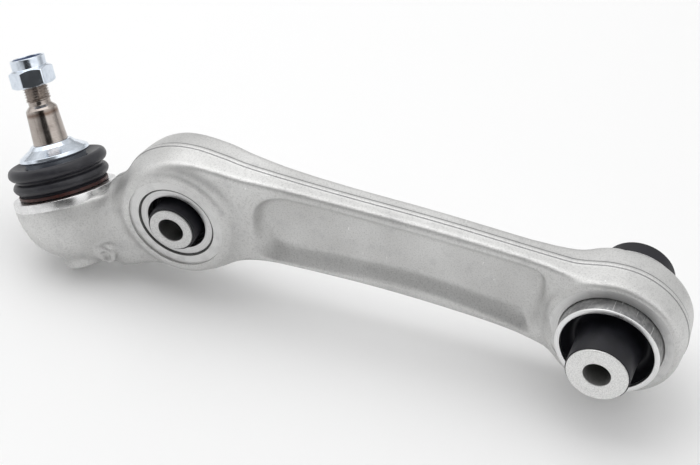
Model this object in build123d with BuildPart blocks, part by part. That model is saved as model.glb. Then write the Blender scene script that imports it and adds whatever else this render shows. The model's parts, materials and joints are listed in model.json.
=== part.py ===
from build123d import *
import math
import os

os.makedirs("parts", exist_ok=True)

# Control arm of a front suspension: a forged aluminium arm with a ball joint at the wheel end (-X),
# a rubber bush for the damper fork and a rubber bush for the subframe (the inner bush).
# The origin is the middle of the inner bush. Both bushes lie along Y, and Z is up.
# Lengths are in millimetres and angles in degrees.

# ---------------------------------------------------------------- driving dimensions
# inner bush and its eye
inner_eye_radius = 37.2
inner_eye_width = 31.4
inner_shell_radius = 27.5
inner_shell_wall = 2.9
inner_shell_length = 48.8
inner_tube_radius = 16.2
inner_tube_length = 85.0
inner_sheath = 0.6
rear_sheath = 4.4

# damper bush and its eye
damper_x = -242.4
damper_z = 7.6
damper_eye_radius = 39.2
damper_face_radius = 29.5
damper_eye_width = 37.8
damper_shell_radius = 21.5
damper_shell_wall = 4.6
damper_shell_length = 36.6
damper_tube_radius = 12.6
damper_tube_length = 51.2
damper_sheath = 1.2

# M14 bolts pass through both inner tubes
bolt_hole_radius = 7.2

# ball joint: the stud leans away from the arm and backwards
ball_centre = (-314.8, -8.6, -11.6)
lean_out = 23.2
lean_back = 18.6
ball_radius = 16.0
race_wall = 3.0
race_lip_radius = 13.5
housing_rim_radius = 29.6
housing_rim_top = 11.6
spigot_radius = 23.2
spigot_top = 15.4
retainer_radius = 20.6
retainer_bottom = 9.4
retainer_top = 13.4
retainer_mouth_radius = 14.2
retainer_flare_radius = 16.4
rolled_lip_radius = 18.6
bowl_depth = 26.2
pad_radius = 10.5
pad_depth = 32.8
boot_room_radius = 35.0

# the stud, with heights measured along it from the ball centre
neck_radius = 8.0
neck_top = 24.0
shoulder_radius = 11.0
shoulder_bottom = 29.0
shoulder_top = 33.0
shank_radius = 9.8
shank_bottom = 40.0
shank_top = 59.0
shank_top_radius = 8.85
thread_radius = 7.0
thread_bottom = 64.4
thread_top = 81.0
undercut_radius = 6.3

# dust collar
collar_bottom = 25.6
collar_radius = 20.0
collar_sleeve_radius = 17.5
collar_rim_bottom = 31.7
collar_rim_top = 34.4

# nut
nut_across_flats = 22.0
nut_turn = 37.1
nut_bottom = 72.5
nut_hex_height = 10.2
nut_height = 16.1
crown_radius = 10.2
crown_mouth_radius = 8.4
insert_radius = 8.8
insert_bottom = 84.0
insert_height = 3.2

# boot and its two rings
boot_gap = 0.3
ring_thickness = 0.9
lower_ring_bottom = 12.2
lower_ring_height = 1.8
upper_ring_bottom = 25.4
upper_ring_height = 1.4
boot_foot_radius = 24.4
boot_lip_radius = 19.3

# clearance between surfaces that turn in each other
running_clearance = 0.05

# forged beam
web_half = 2.7
pocket_mouth = 8.4
pocket_draft = 32
beam_edge_round = 2.4

# small round boss with a dimple, on the front of the neck
boss_centre = (-285.4, -23.0, -22.9)
boss_radius = 4.6
dimple_radius = 2.4
dimple_depth = 1.2

# ---------------------------------------------------------------- reference planes and axes
lean_out_rad = math.radians(lean_out)
lean_back_rad = math.radians(lean_back)
stud_direction = Vector(
    -math.sin(lean_out_rad) * math.cos(lean_back_rad),
    math.sin(lean_back_rad),
    math.cos(lean_out_rad) * math.cos(lean_back_rad),
)
ball_x = Vector(math.cos(lean_out_rad), 0, math.sin(lean_out_rad))
ball_plane = Plane(origin=ball_centre, x_dir=ball_x, z_dir=stud_direction)
ball_section = Plane(origin=ball_centre, x_dir=ball_x, z_dir=-ball_plane.y_dir)
stud_axis = Axis(ball_centre, stud_direction)

inner_section = Plane.XY
inner_axis = Axis.Y
damper_section = Plane(origin=(damper_x, 0, damper_z))
damper_axis = Axis((damper_x, 0, damper_z), (0, 1, 0))

# ---------------------------------------------------------------- outlines of the forging
# side view (x, z): the upper edge from the ball joint over the damper eye to the inner eye
upper_edge = [
    (-280, 21.5),
    (-268, 36.5),
    (-252, 45),
    (-236, 47.6),
    (-221, 46),
    (-203, 42.8),
    (-160, 40),
    (-100, 37.6),
    (-45, 33.8),
    (-14, 32.5),
]
# the lower edge, back from the inner eye to the ball joint
lower_edge = [
    (-24, -27.5),
    (-37, -22),
    (-60, -17.2),
    (-90, -14),
    (-125, -12),
    (-172, -11.8),
    (-200, -13.2),
    (-220, -20.2),
    (-240, -27),
    (-262, -31.6),
    (-280, -36.8),
]
# the neck runs on from the beam's end into the bowl, leaning back with the stud (x, y, z)
neck_start = (-279.5, 0, -8)
neck_start_size = (33.6, 59)
neck_end = (-308, -11, -15)
neck_end_size = (44, 46)
# plan view (x, half width)
half_width = [
    (-280, 17),
    (-262, 16.3),
    (-240, 16),
    (-222, 15.4),
    (-204, 12.6),
    (-190, 10.6),
    (-172, 9.3),
    (-140, 8.4),
    (-80, 8.0),
    (-52, 8.2),
    (-38, 10),
    (-26, 13.2),
    (-12, 15.7),
]
# mouth of the pocket that leaves the I-section, the same on both faces: corner (x, z) and its radius
pocket_corners = [
    ((-199.5, 35), 16),
    ((-115, 32.6), 60),
    ((-37, 28.2), 7),
    ((-40, 2), 40),
    ((-42.5, -17.5), 4.5),
    ((-112, -4.8), 90),
    ((-199.5, -9.8), 14),
]

# ---------------------------------------------------------------- arm forging
with BuildPart() as arm_forging:
    # beam and neck: the side view, narrowed by the plan view
    with BuildSketch(Plane.XZ):
        with BuildLine():
            Spline(*upper_edge)
            Line(upper_edge[-1], lower_edge[0])
            Spline(*lower_edge)
            Line(lower_edge[-1], upper_edge[0])
        make_face()
    extrude(amount=20, both=True)
    with BuildSketch(Plane.XY):
        with BuildLine():
            Spline(*[(x, -half) for x, half in half_width])
            Line((half_width[-1][0], -half_width[-1][1]), half_width[-1])
            Spline(*reversed(half_width))
            Line(half_width[0], (half_width[0][0], -half_width[0][1]))
        make_face()
    extrude(amount=70, both=True, mode=Mode.INTERSECT)
    long_edges = arm_forging.edges().filter_by(lambda edge: edge.length > 250)
    fillet(long_edges, radius=beam_edge_round)

    # neck
    with BuildSketch(Plane(origin=neck_start, x_dir=(0, 1, 0), z_dir=(1, 0, 0))):
        RectangleRounded(*neck_start_size, radius=4)
    with BuildSketch(Plane(origin=neck_end, x_dir=(0, 1, 0), z_dir=(1, 0, 0))):
        RectangleRounded(*neck_end_size, radius=18, rotation=lean_back)
    loft()

    # inner eye, slightly barrelled
    with BuildSketch(inner_section):
        with BuildLine():
            half = inner_eye_width / 2
            Polyline((0, -half), (inner_eye_radius - 1.6, -half), (inner_eye_radius - 0.6, -half + 6))
            ThreePointArc((inner_eye_radius - 0.6, -half + 6), (inner_eye_radius, 0),
                          (inner_eye_radius - 0.6, half - 6))
            Polyline((inner_eye_radius - 0.6, half - 6), (inner_eye_radius - 1.6, half), (0, half))
            Line((0, half), (0, -half))
        make_face()
    revolve(axis=inner_axis)

    # damper eye, with a raised machined face on each side
    with BuildSketch(damper_section):
        with BuildLine():
            half = damper_eye_width / 2
            shoulder = damper_eye_radius - 2.2
            Polyline((0, -half), (damper_face_radius, -half), (damper_face_radius + 4.5, -half + 3.2))
            Line((damper_face_radius + 4.5, -half + 3.2), (shoulder, -half + 7.5))
            ThreePointArc((shoulder, -half + 7.5), (damper_eye_radius, 0), (shoulder, half - 7.5))
            Line((shoulder, half - 7.5), (damper_face_radius + 4.5, half - 3.2))
            Polyline((damper_face_radius + 4.5, half - 3.2), (damper_face_radius, half), (0, half))
            Line((0, half), (0, -half))
        make_face()
    revolve(axis=damper_axis)

    # ball housing: a bowl around the stud axis, with a machined rim and a spigot for the boot
    with BuildSketch(ball_section):
        with BuildLine():
            Spline((0, -bowl_depth), (11.5, -24.4), (22, -16.6), (28.4, -2), (housing_rim_radius, 7),
                   tangents=[(1, 0), (0.1, 1)])
            Line((housing_rim_radius, 7), (housing_rim_radius, housing_rim_top))
            Line((housing_rim_radius, housing_rim_top), (0, housing_rim_top))
            Line((0, housing_rim_top), (0, -bowl_depth))
        make_face()
    revolve(axis=stud_axis)
    # forging pad under the bowl
    with BuildSketch(ball_plane.offset(-pad_depth)):
        Circle(pad_radius)
    extrude(amount=14, taper=-6)
    # room for the boot above the rim
    with BuildSketch(ball_plane.offset(housing_rim_top)):
        Circle(boot_room_radius)
    extrude(amount=50, mode=Mode.SUBTRACT)
    with BuildSketch(ball_plane.offset(housing_rim_top)):
        Circle(spigot_radius)
    extrude(amount=spigot_top - housing_rim_top)

    # the small boss
    boss_plane = Plane(origin=boss_centre, x_dir=(1, 0, 0), z_dir=(0, -1, 0))
    with BuildSketch(boss_plane):
        Circle(boss_radius)
    extrude(amount=-10, taper=-12)
    with BuildSketch(boss_plane):
        Circle(dimple_radius)
    extrude(amount=-dimple_depth, taper=30, mode=Mode.SUBTRACT)

    # bores for the bushes and the cavity for the race and its retaining ring
    with BuildSketch(Plane.XZ):
        Circle(inner_shell_radius)
        with Locations((damper_x, damper_z)):
            Circle(damper_shell_radius)
    extrude(amount=30, both=True, mode=Mode.SUBTRACT)
    with BuildSketch(ball_section):
        with BuildLine():
            cavity = ball_radius + race_wall
            ThreePointArc((0, -cavity), (cavity * math.sin(math.pi / 4), -cavity * math.cos(math.pi / 4)),
                          (cavity, 0))
            Polyline((cavity, 0), (cavity, retainer_bottom), (retainer_radius, retainer_bottom),
                     (retainer_radius, retainer_top), (rolled_lip_radius, retainer_top),
                     (rolled_lip_radius, spigot_top), (0, spigot_top), (0, -cavity))
        make_face()
    revolve(axis=stud_axis, mode=Mode.SUBTRACT)

    # pockets that leave the I-section
    corners = [corner for corner, radius in pocket_corners]
    corner_radii = [radius for corner, radius in pocket_corners]
    for side in (1, -1):
        with BuildSketch(Plane.XZ.offset(side * pocket_mouth)) as pocket:
            with BuildLine():
                FilletPolyline(*corners, radius=corner_radii, close=True)
            make_face()
        extrude(pocket.sketch, amount=side * 12, mode=Mode.SUBTRACT)
        extrude(pocket.sketch, amount=-side * (pocket_mouth - web_half), taper=pocket_draft, mode=Mode.SUBTRACT)
arm_forging.part.label = "arm_forging"
export_step(arm_forging.part, "parts/arm_forging.step")

# ---------------------------------------------------------------- ball joint
with BuildPart() as ball_stud:
    with BuildSketch(ball_section):
        with BuildLine():
            neck_base = math.sqrt(ball_radius**2 - neck_radius**2)
            ThreePointArc((0, -ball_radius), (ball_radius, 0), (neck_radius, neck_base))
            Polyline(
                (neck_radius, neck_base),
                (neck_radius, neck_top),
                (shoulder_radius, shoulder_bottom),
                (shoulder_radius, shoulder_top),
                (shank_radius, shoulder_top),
                (shank_radius, shank_bottom),
                (shank_top_radius, shank_top),
                (shank_top_radius - 1.0, shank_top + 1.1),
                (undercut_radius, thread_bottom - 2.2),
                (undercut_radius, thread_bottom - 0.6),
                (thread_radius, thread_bottom),
                (thread_radius, thread_top - 1.0),
                (thread_radius - 1.0, thread_top),
                (0, thread_top),
                (0, -ball_radius),
            )
        make_face()
    revolve(axis=stud_axis)
ball_stud.part.label = "ball_stud"
export_step(ball_stud.part, "parts/ball_stud.step")

with BuildPart() as ball_race:
    with BuildSketch(ball_section):
        with BuildLine():
            seat = ball_radius + running_clearance
            lip_height = math.sqrt(seat**2 - race_lip_radius**2)
            lip_angle = math.atan2(lip_height, race_lip_radius)
            middle = (lip_angle - math.pi / 2) / 2
            ThreePointArc((0, -seat), (seat * math.cos(middle), seat * math.sin(middle)),
                          (race_lip_radius, lip_height))
            Polyline((race_lip_radius, lip_height), (race_lip_radius + 0.5, retainer_bottom),
                     (cavity, retainer_bottom), (cavity, 0))
            ThreePointArc((cavity, 0), (cavity * math.sin(math.pi / 4), -cavity * math.cos(math.pi / 4)),
                          (0, -cavity))
            Line((0, -cavity), (0, -seat))
        make_face()
    revolve(axis=stud_axis)
ball_race.part.label = "ball_race"
export_step(ball_race.part, "parts/ball_race.step")

with BuildPart() as race_retaining_ring:
    with BuildSketch(ball_section):
        with BuildLine():
            Polyline((retainer_mouth_radius, retainer_bottom), (retainer_radius, retainer_bottom),
                     (retainer_radius, retainer_top), (retainer_flare_radius, retainer_top), close=True)
        make_face()
    revolve(axis=stud_axis)
race_retaining_ring.part.label = "race_retaining_ring"
export_step(race_retaining_ring.part, "parts/race_retaining_ring.step")

with BuildPart() as dust_collar:
    with BuildSketch(ball_section):
        with BuildLine():
            Polyline(
                (shoulder_radius, collar_bottom),
                (collar_sleeve_radius, collar_bottom),
                (collar_sleeve_radius, collar_rim_bottom),
                (collar_radius - 0.4, collar_rim_bottom),
                (collar_radius, collar_rim_bottom + 0.5),
                (collar_radius - 0.3, collar_rim_top - 0.4),
                (collar_radius - 1.3, collar_rim_top + 0.3),
                (shank_radius + 1.2, shank_bottom - 0.4),
                (shank_radius, shank_bottom),
                (shank_radius, shoulder_top),
                (shoulder_radius, shoulder_top),
                close=True,
            )
        make_face()
    revolve(axis=stud_axis)
dust_collar.part.label = "dust_collar"
export_step(dust_collar.part, "parts/dust_collar.step")

with BuildPart() as stud_nut:
    with BuildSketch(ball_plane.offset(nut_bottom)):
        RegularPolygon(nut_across_flats / 2, 6, major_radius=False, rotation=nut_turn)
    extrude(amount=nut_hex_height)
    # the corners are turned off above and below
    corner_radius = nut_across_flats / math.sqrt(3)
    nut_top = nut_bottom + nut_height
    hex_top = nut_bottom + nut_hex_height
    with BuildSketch(ball_section):
        with BuildLine():
            Polyline(
                (0, nut_bottom),
                (nut_across_flats / 2 - 0.4, nut_bottom),
                (corner_radius + 0.1, nut_bottom + 1.2),
                (corner_radius + 0.1, hex_top - 1.6),
                (crown_radius, hex_top),
                (0, hex_top),
                close=True,
            )
        make_face()
    revolve(axis=stud_axis, mode=Mode.INTERSECT)
    with BuildSketch(ball_section):
        with BuildLine():
            Polyline((0, hex_top), (crown_radius - 0.3, hex_top), (crown_radius - 0.3, nut_top - 0.6),
                     (crown_radius - 0.9, nut_top), (0, nut_top), close=True)
        make_face()
    revolve(axis=stud_axis)
    with BuildSketch(ball_section):
        with BuildLine():
            Polyline(
                (0, nut_bottom),
                (thread_radius, nut_bottom),
                (thread_radius, insert_bottom),
                (insert_radius, insert_bottom),
                (insert_radius, insert_bottom + insert_height),
                (crown_mouth_radius, insert_bottom + insert_height),
                (crown_mouth_radius, nut_top),
                (0, nut_top),
                close=True,
            )
        make_face()
    revolve(axis=stud_axis, mode=Mode.SUBTRACT)
stud_nut.part.label = "stud_nut"
export_step(stud_nut.part, "parts/stud_nut.step")

with BuildPart() as nut_locking_insert:
    with BuildSketch(ball_plane.offset(insert_bottom)):
        Circle(insert_radius)
        Circle(thread_radius - 0.4, mode=Mode.SUBTRACT)
    extrude(amount=insert_height)
nut_locking_insert.part.label = "nut_locking_insert"
export_step(nut_locking_insert.part, "parts/nut_locking_insert.step")

# the boot stands on the rim, outside the spigot, and its lip turns on the collar's sleeve
with BuildPart() as dust_boot:
    with BuildSketch(ball_section):
        with BuildLine():
            foot_inside = spigot_radius + boot_gap
            foot_bottom = housing_rim_top + boot_gap
            lip_inside = collar_sleeve_radius + boot_gap
            Polyline((foot_inside, 15.6), (foot_inside, foot_bottom), (boot_foot_radius, foot_bottom),
                     (boot_foot_radius, 14.4), (24.6, 15.0))
            ThreePointArc((24.6, 15.0), (27.4, 18.4), (24.6, 21.8))
            Line((24.6, 21.8), (24.6, 22.8))
            ThreePointArc((24.6, 22.8), (28.2, 26.4), (25.2, 30.1))
            Polyline((25.2, 30.1), (boot_lip_radius, 28.3), (lip_inside, 28.0), (lip_inside, 25.0),
                     (boot_lip_radius, 25.0), (boot_lip_radius, 26.9), (24.6, 28.4))
            ThreePointArc((24.6, 28.4), (26.5, 26.4), (23.0, 23.6))
            Line((23.0, 23.6), (23.0, 21.2))
            ThreePointArc((23.0, 21.2), (25.6, 18.4), (foot_inside, 15.6))
        make_face()
    revolve(axis=stud_axis)
dust_boot.part.label = "dust_boot"
export_step(dust_boot.part, "parts/dust_boot.step")

with BuildPart() as boot_lower_clamp_ring:
    with BuildSketch(ball_plane.offset(lower_ring_bottom)):
        Circle(boot_foot_radius + boot_gap + ring_thickness)
        Circle(boot_foot_radius + boot_gap, mode=Mode.SUBTRACT)
    extrude(amount=lower_ring_height)
boot_lower_clamp_ring.part.label = "boot_lower_clamp_ring"
export_step(boot_lower_clamp_ring.part, "parts/boot_lower_clamp_ring.step")

with BuildPart() as boot_upper_clamp_ring:
    with BuildSketch(ball_plane.offset(upper_ring_bottom)):
        Circle(boot_lip_radius + boot_gap + ring_thickness)
        Circle(boot_lip_radius + boot_gap, mode=Mode.SUBTRACT)
    extrude(amount=upper_ring_height)
boot_upper_clamp_ring.part.label = "boot_upper_clamp_ring"
export_step(boot_upper_clamp_ring.part, "parts/boot_upper_clamp_ring.step")

# ---------------------------------------------------------------- inner bush
inner_rubber_radius = inner_shell_radius - inner_shell_wall
with BuildPart() as inner_bush_outer_sleeve:
    with BuildSketch(Plane.XZ):
        Circle(inner_shell_radius)
        Circle(inner_rubber_radius, mode=Mode.SUBTRACT)
    extrude(amount=inner_shell_length / 2, both=True)
    chamfer(inner_bush_outer_sleeve.edges().filter_by(GeomType.CIRCLE), length=0.5)
inner_bush_outer_sleeve.part.label = "inner_bush_outer_sleeve"
export_step(inner_bush_outer_sleeve.part, "parts/inner_bush_outer_sleeve.step")

with BuildPart() as inner_bush_rubber:
    with BuildSketch(inner_section):
        with BuildLine():
            bond = inner_tube_radius + running_clearance
            front = inner_tube_radius + inner_sheath
            rear = inner_tube_radius + rear_sheath
            sheath_end = inner_tube_length / 2 - 1.0
            Polyline((bond, -sheath_end), (front, -sheath_end), (front, -20))
            Spline((front, -20), (18.6, -15), (21.5, -14.6), (inner_rubber_radius, -21.5),
                   tangents=[(0.1, 1), (0.3, -1)])
            Line((inner_rubber_radius, -21.5), (inner_rubber_radius, 21.5))
            Spline((inner_rubber_radius, 21.5), (23.6, 18.2), (21.8, 18.2), (rear, 22),
                   tangents=[(-0.3, -1), (-0.1, 1)])
            Polyline((rear, 22), (rear, sheath_end), (bond, sheath_end), (bond, -sheath_end))
        make_face()
    revolve(axis=inner_axis)
inner_bush_rubber.part.label = "inner_bush_rubber"
export_step(inner_bush_rubber.part, "parts/inner_bush_rubber.step")

with BuildPart() as inner_bush_inner_sleeve:
    with BuildSketch(Plane.XZ):
        Circle(inner_tube_radius)
        Circle(bolt_hole_radius, mode=Mode.SUBTRACT)
    extrude(amount=inner_tube_length / 2, both=True)
    chamfer(inner_bush_inner_sleeve.edges().filter_by(GeomType.CIRCLE), length=0.5)
inner_bush_inner_sleeve.part.label = "inner_bush_inner_sleeve"
export_step(inner_bush_inner_sleeve.part, "parts/inner_bush_inner_sleeve.step")

# ---------------------------------------------------------------- damper bush
damper_rubber_radius = damper_shell_radius - damper_shell_wall
with BuildPart() as damper_bush_outer_sleeve:
    with BuildSketch(Plane.XZ):
        with Locations((damper_x, damper_z)):
            Circle(damper_shell_radius)
            Circle(damper_rubber_radius, mode=Mode.SUBTRACT)
    extrude(amount=damper_shell_length / 2, both=True)
    chamfer(damper_bush_outer_sleeve.edges().filter_by(GeomType.CIRCLE), length=0.6)
damper_bush_outer_sleeve.part.label = "damper_bush_outer_sleeve"
export_step(damper_bush_outer_sleeve.part, "parts/damper_bush_outer_sleeve.step")

with BuildPart() as damper_bush_rubber:
    with BuildSketch(damper_section):
        with BuildLine():
            bond = damper_tube_radius + running_clearance
            cuff = damper_tube_radius + damper_sheath
            cuff_end = damper_tube_length / 2 - 1.4
            Polyline((bond, -cuff_end), (cuff, -cuff_end), (cuff, -12))
            Spline((cuff, -12), (15.2, -9.5), (damper_rubber_radius, -12), tangents=[(0.2, 1), (0.2, -1)])
            Line((damper_rubber_radius, -12), (damper_rubber_radius, 12))
            Spline((damper_rubber_radius, 12), (15.2, 9.5), (cuff, 12), tangents=[(-0.2, -1), (-0.2, 1)])
            Polyline((cuff, 12), (cuff, cuff_end), (bond, cuff_end), (bond, -cuff_end))
        make_face()
    revolve(axis=damper_axis)
damper_bush_rubber.part.label = "damper_bush_rubber"
export_step(damper_bush_rubber.part, "parts/damper_bush_rubber.step")

with BuildPart() as damper_bush_inner_sleeve:
    with BuildSketch(Plane.XZ):
        with Locations((damper_x, damper_z)):
            Circle(damper_tube_radius)
            Circle(bolt_hole_radius, mode=Mode.SUBTRACT)
    extrude(amount=damper_tube_length / 2, both=True)
    chamfer(damper_bush_inner_sleeve.edges().filter_by(GeomType.CIRCLE), length=0.6)
damper_bush_inner_sleeve.part.label = "damper_bush_inner_sleeve"
export_step(damper_bush_inner_sleeve.part, "parts/damper_bush_inner_sleeve.step")
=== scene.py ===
"""Control arm: the visual model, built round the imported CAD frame. Profiles are in millimetres."""
import json
import math

import bmesh
import bpy
import numpy as np
from mathutils import Matrix, Vector


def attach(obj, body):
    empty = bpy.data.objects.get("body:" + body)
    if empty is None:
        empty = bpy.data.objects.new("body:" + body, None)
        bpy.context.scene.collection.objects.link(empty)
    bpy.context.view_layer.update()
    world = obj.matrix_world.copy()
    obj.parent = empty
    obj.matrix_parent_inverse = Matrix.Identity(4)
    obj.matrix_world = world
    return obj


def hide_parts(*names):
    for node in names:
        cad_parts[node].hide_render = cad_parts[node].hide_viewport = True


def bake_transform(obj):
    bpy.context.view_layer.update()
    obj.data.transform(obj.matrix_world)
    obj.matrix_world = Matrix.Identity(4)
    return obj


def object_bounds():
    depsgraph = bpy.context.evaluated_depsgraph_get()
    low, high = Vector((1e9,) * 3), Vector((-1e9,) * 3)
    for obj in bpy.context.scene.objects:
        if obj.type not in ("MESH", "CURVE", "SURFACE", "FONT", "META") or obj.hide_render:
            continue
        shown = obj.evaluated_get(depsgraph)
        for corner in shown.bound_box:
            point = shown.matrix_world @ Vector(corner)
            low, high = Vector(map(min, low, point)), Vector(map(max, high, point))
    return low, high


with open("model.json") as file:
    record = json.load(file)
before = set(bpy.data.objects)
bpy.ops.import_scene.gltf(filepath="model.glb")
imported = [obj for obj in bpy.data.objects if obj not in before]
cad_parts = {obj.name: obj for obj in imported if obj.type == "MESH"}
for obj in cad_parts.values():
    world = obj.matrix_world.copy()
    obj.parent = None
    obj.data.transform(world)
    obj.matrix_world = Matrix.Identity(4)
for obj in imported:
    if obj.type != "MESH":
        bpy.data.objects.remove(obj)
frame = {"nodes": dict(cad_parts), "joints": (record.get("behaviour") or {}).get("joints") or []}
cad_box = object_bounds()

MM = 0.001
joints = {joint["name"]: joint for joint in frame["joints"]}

# ---------------- places taken from the frame
# the ball joint's own frame: x along the axis of the across-arm swing, z along the stud
ball_centre = Vector(joints["stud_spin"]["pos_m"])
stud_axis = Vector(joints["stud_spin"]["axis"]).normalized()
ball_x = Vector(joints["stud_swing_across_arm"]["axis"]).normalized()
inner_centre = Vector(joints["inner_sleeve_twist"]["pos_m"])
damper_centre = Vector(joints["damper_sleeve_twist"]["pos_m"])


def placed(origin, x_axis, z_axis):
    """A matrix whose z runs along z_axis, for a piece turned about that axis."""
    y_axis = z_axis.cross(x_axis)
    rotation = Matrix((x_axis, y_axis, z_axis)).transposed().to_4x4()
    return Matrix.Translation(origin) @ rotation


# turned pieces have their own z along these: the stud's axis, and +Y for each bush
ball_place = placed(ball_centre, ball_x, stud_axis)
inner_place = placed(inner_centre, Vector((1, 0, 0)), Vector((0, 1, 0)))
damper_place = placed(damper_centre, Vector((1, 0, 0)), Vector((0, 1, 0)))

# ---------------- sizes shared by several pieces
inner_eye_half = 15.7
inner_bore = 27.5
inner_shell_inside = 24.6
inner_shell_half = 24.4
inner_tube_radius = 16.2
inner_tube_half = 42.5
damper_eye_half = 18.9
damper_bore = 21.5
damper_shell_inside = damper_bore - 4.6
damper_shell_half = 18.3
damper_tube_radius = 12.6
damper_tube_half = 25.6
bolt_hole_radius = 7.2
# left between two skins that would otherwise share a surface
skin_gap = 0.02
rim_bottom = 7.8
rim_top = 11.6
rim_radius = 29.6
spigot_radius = 23.2
spigot_top = 15.4
thread_radius = 7.0
thread_pitch = 1.5
nut_bottom = 72.5
nut_hex_top = 82.7
nut_top = 88.6
nut_flats = 22.0
nut_turn = 37.1
flash_half = 1.5


# ---------------- mesh helpers
def object_from(name, mesh):
    """Links a new object that holds the mesh. Its place is in its mesh, as a CAD node's is."""
    piece = bpy.data.objects.new(name, mesh)
    bpy.context.scene.collection.objects.link(piece)
    return piece


def mesh_from_grid(name, points, closed_rows):
    """A tube of quads from points[row, column], closed round its columns and perhaps along its rows."""
    rows, columns = points.shape[:2]
    row = np.arange(rows if closed_rows else rows - 1)[:, None]
    column = np.arange(columns)[None, :]
    next_row = (row + 1) % rows
    next_column = (column + 1) % columns
    corners = (row * columns + column, row * columns + next_column,
               next_row * columns + next_column, next_row * columns + column)
    faces = np.stack(np.broadcast_arrays(*corners), axis=-1).reshape(-1, 4)
    mesh = bpy.data.meshes.new(name)
    mesh.from_pydata((points.reshape(-1, 3) * MM).tolist(), [], faces.tolist())
    work = bmesh.new()
    work.from_mesh(mesh)
    bmesh.ops.remove_doubles(work, verts=work.verts, dist=1e-7)
    bmesh.ops.recalc_face_normals(work, faces=work.faces)
    work.to_mesh(mesh)
    work.free()
    return mesh


def smooth(piece, angle=38):
    """Shades a piece smooth, with edges sharper than the angle left sharp."""
    piece.data.shade_smooth()
    piece.data.set_sharp_from_angle(angle=math.radians(angle))
    return piece


def rounded(corners, closed=True, steps=5):
    """An outline of (radius, height, fillet) corners, with each fillet drawn as a short arc."""
    count = len(corners)
    outline = []
    for index, (radius, height, fillet) in enumerate(corners):
        here = Vector((radius, height))
        if fillet == 0 or (not closed and index in (0, count - 1)):
            outline.append(here)
            continue
        before = Vector(corners[index - 1][:2]) - here
        after = Vector(corners[(index + 1) % count][:2]) - here
        half_turn = before.angle(after) / 2
        reach = min(fillet / math.tan(half_turn), 0.49 * before.length, 0.49 * after.length)
        start = here + before.normalized() * reach
        end = here + after.normalized() * reach
        for step in range(steps + 1):
            part = step / steps
            outline.append(start.lerp(here, part).lerp(here.lerp(end, part), part))
    return np.array([(point.x, point.y) for point in outline])


def curve_through(points, samples=10, closed=False):
    """A smooth outline through points, as a Catmull-Rom curve."""
    points = np.array(points, float)
    if closed:
        padded = np.vstack([points[-1], points, points[0], points[1]])
    else:
        padded = np.vstack([2 * points[0] - points[1], points, 2 * points[-1] - points[-2]])
    outline = []
    for index in range(len(padded) - 3):
        a, b, c, d = padded[index:index + 4]
        for t in np.arange(samples) / samples:
            outline.append(0.5 * (2 * b + (c - a) * t + (2 * a - 5 * b + 4 * c - d) * t**2
                                  + (3 * b - a - 3 * c + d) * t**3))
    if not closed:
        outline.append(points[-1])
    return np.array(outline)


def lathe(name, outline, place, segments=144, closed=True, relief=None):
    """A piece turned about the place's z from an outline of (radius, height) points."""
    outline = np.asarray(outline, float)
    turn = np.linspace(0, 2 * np.pi, segments, endpoint=False)[None, :]
    radius = np.repeat(outline[:, :1], segments, axis=1)
    height = np.repeat(outline[:, 1:2], segments, axis=1)
    if relief is not None:
        radius = relief(radius, height, turn)
    points = np.stack([radius * np.cos(turn), radius * np.sin(turn), height], axis=-1)
    mesh = mesh_from_grid(name, points, closed)
    mesh.transform(place)
    return smooth(object_from(name, mesh))


# ---------------- material helpers
def new_material(name, colour, metallic, roughness, place=None, **sockets):
    """A material with these plain values, whose noise and lines are laid out in the place's frame."""
    material = bpy.data.materials.new(name)
    material.use_nodes = True
    inputs = material.node_tree.nodes["Principled BSDF"].inputs
    inputs["Base Color"].default_value = (*colour, 1)
    inputs["Metallic"].default_value = metallic
    inputs["Roughness"].default_value = roughness
    for socket, value in sockets.items():
        inputs[socket.replace("_", " ")].default_value = value
    inverse = (place or Matrix.Identity(4)).inverted()
    where = add_node(material, "ShaderNodeTexCoord", {}).outputs["Object"]
    inputs = {"Vector": where, "Location": inverse.to_translation(), "Rotation": inverse.to_euler()}
    add_node(material, "ShaderNodeMapping", inputs, name="own_position")
    return material


def add_node(material, kind, inputs, **settings):
    """Adds a node. An input given as another node's socket is linked, and any other value is set."""
    tree = material.node_tree
    node = tree.nodes.new(kind)
    for setting, value in settings.items():
        setattr(node, setting, value)
    for name, value in inputs.items():
        if isinstance(value, bpy.types.NodeSocket):
            tree.links.new(value, node.inputs[name])
        else:
            node.inputs[name].default_value = value
    return node


def feed(material, socket, source):
    """Links a source into one of the shader's sockets."""
    shader = material.node_tree.nodes["Principled BSDF"]
    material.node_tree.links.new(source, shader.inputs[socket])


def own_position(material):
    """The point in the material's own frame, in metres."""
    return material.node_tree.nodes["own_position"].outputs["Vector"]


def noise(material, size, detail=3, stretch=(1, 1, 1), rough=0.5, offset=0):
    """Cloudy noise whose blobs are about size millimetres across."""
    inputs = {"Vector": own_position(material), "Scale": stretch, "Location": (offset, offset, offset)}
    place = add_node(material, "ShaderNodeMapping", inputs)
    inputs = {"Vector": place.outputs["Vector"], "Scale": 1 / (size * MM), "Detail": detail,
              "Roughness": rough}
    return add_node(material, "ShaderNodeTexNoise", inputs).outputs["Fac"]


def arithmetic(material, operation, first, second=0.0, clamp=False):
    """One operation on two numbers or sockets."""
    node = add_node(material, "ShaderNodeMath", {}, operation=operation, use_clamp=clamp)
    for index, value in enumerate((first, second)):
        if isinstance(value, bpy.types.NodeSocket):
            material.node_tree.links.new(value, node.inputs[index])
        else:
            node.inputs[index].default_value = value
    return node.outputs["Value"]


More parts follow.
